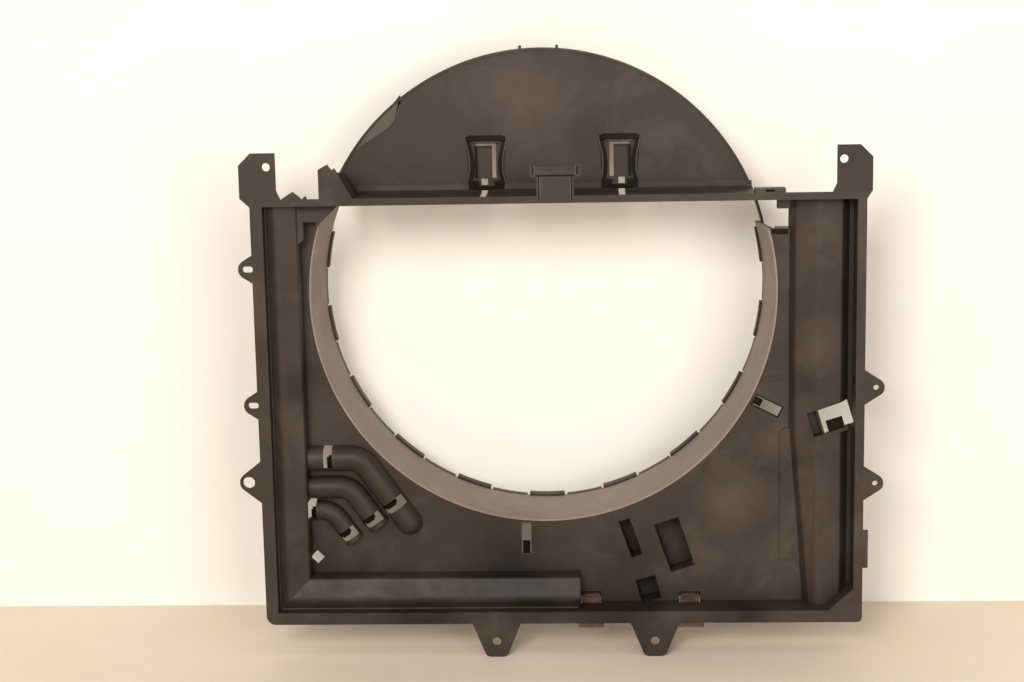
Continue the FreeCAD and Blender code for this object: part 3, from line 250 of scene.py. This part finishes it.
MATERIALS = {
    "moulding": plastic("moulded_plastic", (0.024, 0.0165, 0.0115), (0.043, 0.031, 0.0235),
                        (0.105, 0.082, 0.065)),
    "liner": plastic("liner_plastic", (0.190, 0.146, 0.115), (0.240, 0.190, 0.152),
                     (0.33, 0.28, 0.235), dusty=0.35),
    "spring_steel": rusty_steel(),
    "shaded": plastic("shaded_plastic", (0.008, 0.005, 0.003), (0.014, 0.009, 0.006),
                      (0.035, 0.026, 0.020), dusty=0.3, shine=0.05),
    # pale plastic for thin rims, ribs and edges: painted highlight
    "worn": plastic("edge_highlight_plastic", (0.055, 0.042, 0.033), (0.09, 0.072, 0.058),
                    (0.17, 0.14, 0.115), dusty=0.7),
}


def dress(piece, material):
    piece.data.materials.clear()
    piece.data.materials.append(MATERIALS[material])


slots = {part["node"]: part["material_slot"] for part in frame["record"]["subparts"]}
for node, piece in frame["nodes"].items():
    dress(piece, slots[node])


# ---------------------------------------------------------------- ways to make a moulded detail

def add_piece(name, data, body, material):
    """A piece of the scene that moves with a body and takes the given material."""
    piece = bpy.data.objects.new(name, data)
    bpy.context.scene.collection.objects.link(piece)
    piece.data.materials.append(MATERIALS[material])
    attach(piece, body)
    return piece


def prism(name, near, far, body, material, bevel):
    """A solid between two outlines of as many points each, given in metres."""
    build = bmesh.new()
    near = [build.verts.new(point) for point in near]
    far = [build.verts.new(point) for point in far]
    build.faces.new(near)
    build.faces.new(far[::-1])
    count = len(near)
    for i in range(count):
        build.faces.new((near[i], near[(i + 1) % count], far[(i + 1) % count], far[i]))
    bmesh.ops.recalc_face_normals(build, faces=build.faces)
    mesh = bpy.data.meshes.new(name)
    build.to_mesh(mesh)
    build.free()
    piece = add_piece(name, mesh, body, material)
    if bevel:
        edge = piece.modifiers.new("bevel", "BEVEL")
        edge.width = bevel * MM
        edge.segments = 2
        edge.limit_method = "ANGLE"


def slab(name, outline, front, back, material="moulding", bevel=0.4):
    """A flat piece on the shroud: its outline in x and height, its faces at two depths, in mm."""
    prism(name, [place(x, front, height) for x, height in outline],
          [place(x, back, height) for x, height in outline], "shroud", material, bevel)


def strip(name, left, right, low, high, front, back, material="shaded", bevel=0.0):
    """An upright rectangular slab."""
    slab(name, [(left, low), (right, low), (right, high), (left, high)], front, back, material, bevel)


def band(name, inner, outer, front, back, material, bevel):
    """A slab between two open lines of equal length."""
    slab(name, list(inner) + list(outer)[::-1], front, back, material, bevel)


def tube(name, points, radius, material):
    """A thin round rib on the shroud, along points given in mm."""
    curve = bpy.data.curves.new(name, "CURVE")
    curve.dimensions = "3D"
    curve.bevel_depth = radius * MM
    curve.bevel_resolution = 3
    spline = curve.splines.new("NURBS")
    spline.points.add(len(points) - 1)
    for point, spot in zip(spline.points, points):
        point.co = (*place(*spot), 1)
    spline.order_u = 3
    spline.use_endpoint_u = True
    add_piece(name, curve, "shroud", material)


def arc(centre, radius, angles):
    """Points (x, height) on a circle, at angles in degrees."""
    return [(centre[0] + radius * math.cos(math.radians(angle)),
             centre[1] + radius * math.sin(math.radians(angle))) for angle in angles]


# ---------------------------------------------------------------- pockets round the latches

LATCHES = {"left": (-79.3, 1), "right": (69.0, -1)}  # the latch's x, and the side of its open slit
SIDES = (("left", -1), ("right", 1))
POCKET_SHIFT = 2.1  # from the latch's middle to the pocket's, towards the open slit
POCKET_FRONT, POCKET_BACK = 97.6, 100.6
FLANK_WIDTH = 4.6
# the pocket's waisted side: half width and height
FLANK_LINE = [(22.5, 516.0), (21.5, 508.0), (18.8, 498.0), (17.6, 487.0), (18.2, 476.0), (20.8, 466.0)]


def latch_surround(name, x, side):
    """The pocket round a latch: waisted flanks with rims, low boxes, cap bar, brow and a strip by the
    slit; the rims are painted highlight, the flanks, boxes, cap and slit strip painted shade.
    """
    middle = x + POCKET_SHIFT * side
    for label, turn in SIDES:
        outer = [(middle + turn * reach, height) for reach, height in FLANK_LINE]
        inner = [(middle + turn * (reach - FLANK_WIDTH), height) for reach, height in FLANK_LINE]
        band("%s_flank_%s" % (name, label), inner, outer, 99.3, 100.9, "shaded", 0.3)
        # the rim's pale plastic is a painted highlight along the flank's edge
        edge = [(point[0], POCKET_FRONT + 1.4, point[1]) for point in outer]
        tube("%s_rim_%s" % (name, label), edge, 0.7, "worn")
        near, far = middle + turn * 8.6, middle + turn * 19.6
        slab("%s_box_%s" % (name, label),
             [(near, 457.2), (far, 457.2), (far - turn * 0.8, 468.5), (near, 468.5)],
             97.2, 100.4, "shaded")
    slab(name + "_cap",
         [(middle - 22.0, 511.5), (middle + 22.0, 511.5), (middle + 18.5, 517.5), (middle - 18.5, 517.5)],
         POCKET_FRONT, POCKET_BACK, "shaded", 0.8)
    strip(name + "_brow", middle - 14.5, middle + 14.5, 508.8, 511.5,
          POCKET_FRONT + 0.8, POCKET_BACK, "moulding", 0.5)
    slit = x - 8.7 * side
    # a strip of painted shade by the slit
    strip(name + "_slit_shade", slit - 1.2, slit + 1.2, 471.6, 506.0, 98.6, 99.3)


for label, (x, side) in LATCHES.items():
    latch_surround(label + "_pocket", x, side)
for label, (x, _) in LATCHES.items():
    strip(label + "_latch_bar", x - 10.5, x + 10.5, 459.2, 463.2, 95.8, 97.6, bevel=0.5)


# ---------------------------------------------------------------- painted highlight and shadow lines on the bracket, painted shade on the deck and ledge, small steps

BRACKET_X = -1.0
BRACKET_LINE_FRONT, BRACKET_LINE_BACK = -0.2, 0.6
# thin strips on the bracket's face: the pale ones are painted highlight, the dark ones painted shadow of
# its grooves and cap
# name, near and far edge from the bracket's middle, low and high end, material
BRACKET_LIGHT_AND_SHADOW_LINES = [
    ("rib", 15.2, 16.2, 457.0, 481.5, "worn"),
    ("groove", 16.2, 17.4, 457.0, 482.0, "shaded"),
    ("post", 20.6, 21.8, 484.0, 493.6, "worn"),
    ("post_groove", 21.8, 23.4, 484.4, 491.8, "shaded"),
]
# painted shadow under the bracket's cap
strip("bracket_cap_line", -21.0, 19.0, 482.2, 483.8, BRACKET_LINE_FRONT, BRACKET_LINE_BACK)
for label, side in SIDES:
    for part, near, far, low, high, material in BRACKET_LIGHT_AND_SHADOW_LINES:
        strip("bracket_%s_%s" % (part, label), BRACKET_X + side * near, BRACKET_X + side * far,
              low, high, BRACKET_LINE_FRONT, BRACKET_LINE_BACK, material)

# painted shade on the deck's floor behind the rail's lip, in four parts that leave the latches' slots
# open:
# name, left, right, front and back
DECK_SHADES = [
    ("front", -216.5, 207.5, 4.0, 46.0), ("left", -216.5, -90.5, 46.0, 91.0),
    ("middle", -67.0, 57.0, 46.0, 91.0), ("right", 80.0, 207.5, 46.0, 91.0),
]
for label, left, right, front, back in DECK_SHADES:
    strip("deck_shade_" + label, left, right, 455.0, 456.2, front, back)

# painted shadow on the ledge at the collar's end, and painted shade at the back of the rail guide's slot
strip("ledge_shade", 225.5, 242.5, 413.8, 419.6, 37.6, 38.1, bevel=0.1)
strip("guide_back_shade", 213.5, 230.5, 460.8, 466.6, 2.2, 2.9)

# small steps on the upper rail, left of the wing
slab("rail_step_left",
     [(-287.0, 461.6), (-264.5, 461.6), (-267.5, 464.6), (-274.5, 470.0), (-285.0, 463.4)],
     0.0, 3.0, bevel=0.2)
slab("rail_step_small", [(-264.0, 461.6), (-259.5, 461.6), (-260.5, 465.4), (-263.5, 464.0)],
     0.0, 3.0, bevel=0.2)

# scoop in the cowl's left rim, between a small circle and the rim's own; its pale plastic is a painted
# highlight
SCOOP_ANGLES = range(-52, 3, 6)
RIM_ANGLES = (144.8, 142.8, 140.8, 138.8, 136.8, 134.8, 132.8, 131.0, 129.2, 127.4)
band("rim_scoop", arc((-210.3, 558.6), 41.9, SCOOP_ANGLES), arc((-19, 362), 245.2, RIM_ANGLES),
     99.2, 100.2, "worn", 0.2)


# ---------------------------------------------------------------- borders of the tray's windows: painted shade, and a painted highlight round the low window

WINDOW_BACK = 38.1
# name, middle, length, width, angle of the length in degrees, border, front and material
# the shaded borders are painted shade, the low window's pale border a painted highlight
WINDOW_RIMS = [
    ("low_window_rim", (-38.5, 84.5), 34.0, 10.2, 90.0, 1.1, 37.4, "worn"),
    ("high_window_rim", (221.6, 229.1), 30.0, 11.0, -27.0, 1.2, 37.3, "shaded"),
    ("slot_window_rim", (74.5, 84.0), 41.0, 10.5, -71.0, 1.1, 37.3, "shaded"),
    ("wide_window_rim", (122.0, 76.0), 54.0, 25.0, -71.5, 1.2, 37.3, "shaded"),
    ("foot_window_rim", (93.5, 26.5), 24.0, 19.5, -75.0, 1.2, 37.3, "shaded"),
]


def window_rim(name, middle, length, width, angle, border, front, material):
    """A thin border round a window, in four parts."""
    turn = math.radians(angle)

    def at(along, across):
        return (middle[0] + along * math.cos(turn) - across * math.sin(turn),
                middle[1] + along * math.sin(turn) + across * math.cos(turn))

    a, c = length / 2, width / 2
    for label, low, high, near, far in (("low", -a - border, a + border, -c - border, -c),
                                        ("high", -a - border, a + border, c, c + border),
                                        ("start", -a - border, -a, -c, c),
                                        ("end", a, a + border, -c, c)):
        slab("%s_%s" % (name, label), [at(low, near), at(high, near), at(high, far), at(low, far)],
             front, WINDOW_BACK, material, 0.3)


for row in WINDOW_RIMS:
    window_rim(*row)


# ---------------------------------------------------------------- broad pads on the hose hooks

PAD_FRONT, PAD_BACK = -2.2, -0.95  # depths from the hook's root
PAD_FOOT, PAD_SLANT = 1.4, 1.5
# hook, the pad's two edges beside the hook's middle, and its length
HOOK_PADS = [
    ("hose_hook_a", -4.6, 2.4, 15.0), ("hose_hook_b", -4.2, 2.4, 11.6),
    ("hose_hook_c", -2.4, 4.6, 13.5), ("hose_hook_d", -2.4, 4.2, 12.0),
    ("hose_hook_e", -2.4, 4.2, 10.5),
]
CABLE_HOOKS = ["low_cable_hook", "high_cable_hook", "column_cable_hook"]

joints = {joint["name"]: joint for joint in frame["record"]["behaviour"]["joints"]}


def hook_pad(hook, left, right, length):
    """A flat pad on a hook's arm, placed from the hook's joint."""
    joint = joints[hook + "_flex"]
    root, axis = Vector(joint["pos_m"]), Vector(joint["axis"])
    along = Vector((axis[2], 0, -axis[0]))
    outline = ((left, PAD_FOOT), (right, PAD_FOOT), (right, length), (left, length - PAD_SLANT))
    near, far = [[root + (-axis * x + along * z + Vector((0, depth, 0))) * MM for x, z in outline]
                 for depth in (PAD_FRONT, PAD_BACK)]
    prism(hook + "_pad", near, far, hook, "shaded", 0.3)


for row in HOOK_PADS:
    hook_pad(*row)
for hook in [row[0] for row in HOOK_PADS] + CABLE_HOOKS:
    dress(frame["nodes"][hook], "shaded")


# ---------------------------------------------------------------- stage

FLOOR = cad_box[0].z
WALL_DEPTH = 0.185
STAGE_SIDE, STAGE_NEAR, STAGE_TOP = 6.0, -4.0, 5.0


def flat_material(name, colour, speck, roughness):
    n = Nodes(name)
    tone = n.mix(n.ramp(n.noise(3.0, 5.0, 0.6), [(0.35, 0.0), (0.7, 1.0)]), colour, speck)
    n.link(tone, n.shader.inputs["Base Color"])
    n.shader.inputs["Roughness"].default_value = roughness
    return n.material


def stage_plane(name, corners, material):
    mesh = bpy.data.meshes.new(name)
    mesh.from_pydata(corners, [], [(0, 1, 2, 3)])
    piece = bpy.data.objects.new(name, mesh)
    bpy.context.scene.collection.objects.link(piece)
    piece.data.materials.append(material)


def make_stage():
    table = flat_material("table_surface", (0.70, 0.585, 0.455), (0.75, 0.64, 0.515), 0.5)
    wall = flat_material("backdrop_surface", (0.76, 0.725, 0.655), (0.80, 0.765, 0.70), 0.8)
    foot = [(-STAGE_SIDE, WALL_DEPTH, FLOOR), (STAGE_SIDE, WALL_DEPTH, FLOOR)]
    stage_plane("table", [(-STAGE_SIDE, STAGE_NEAR, FLOOR), (STAGE_SIDE, STAGE_NEAR, FLOOR),
                          foot[1], foot[0]], table)
    stage_plane("backdrop", [foot[0], foot[1], (STAGE_SIDE, WALL_DEPTH, STAGE_TOP),
                             (-STAGE_SIDE, WALL_DEPTH, STAGE_TOP)], wall)


make_stage()


# ---------------------------------------------------------------- light and camera

# name, place, target, size, power, colour
LAMPS = [
    ("key_lamp", (-0.7, -2.9, 1.5), (0, 0.1, 0.2), (1.0, 1.0), 82, (1.0, 0.975, 0.94)),
    ("fill_lamp", (1.2, -2.8, 0.8), (0, 0.1, 0.2), (1.4, 1.4), 44, (1.0, 0.975, 0.945)),
    ("top_lamp", (0.1, -0.8, 2.4), (0, 0.15, 0.1), (2.4, 1.2), 9, (1.0, 0.985, 0.96)),
]
WORLD_COLOUR, WORLD_STRENGTH = (1.0, 0.97, 0.92, 1), 0.30


def area_lamp(name, location, target, size, power, colour):
    data = bpy.data.lights.new(name, "AREA")
    data.shape = "RECTANGLE"
    data.size, data.size_y = size
    data.energy = power
    data.color = colour
    lamp = bpy.data.objects.new(name, data)
    bpy.context.scene.collection.objects.link(lamp)
    lamp.location = location
    lamp.rotation_mode = "QUATERNION"
    lamp.rotation_quaternion = (Vector(target) - Vector(location)).to_track_quat("-Z", "Y")


def make_lights():
    world = bpy.data.worlds.new("world")
    bpy.context.scene.world = world
    world.use_nodes = True
    background = world.node_tree.nodes["Background"]
    background.inputs["Color"].default_value = WORLD_COLOUR
    background.inputs["Strength"].default_value = WORLD_STRENGTH
    for lamp in LAMPS:
        area_lamp(*lamp)


make_lights()

CAMERA_SPOT = place(41.4, -2060.9, 692.2)
CAMERA_TARGET = place(-48.6, 0.0, 309.9)
CAMERA_LENS = 70.3
CAMERA_ROLL = math.radians(-1.1)


def make_camera():
    data = bpy.data.cameras.new("camera")
    data.lens = CAMERA_LENS
    data.sensor_width = 36.0
    camera = bpy.data.objects.new("camera", data)
    bpy.context.scene.collection.objects.link(camera)
    look = (CAMERA_TARGET - CAMERA_SPOT).to_track_quat("-Z", "Y")
    camera.matrix_world = (Matrix.Translation(CAMERA_SPOT) @ look.to_matrix().to_4x4()
                           @ Matrix.Rotation(CAMERA_ROLL, 4, "Z"))
    bpy.context.scene.camera = camera


make_camera()
bpy.context.scene.view_settings.view_transform = "Standard"
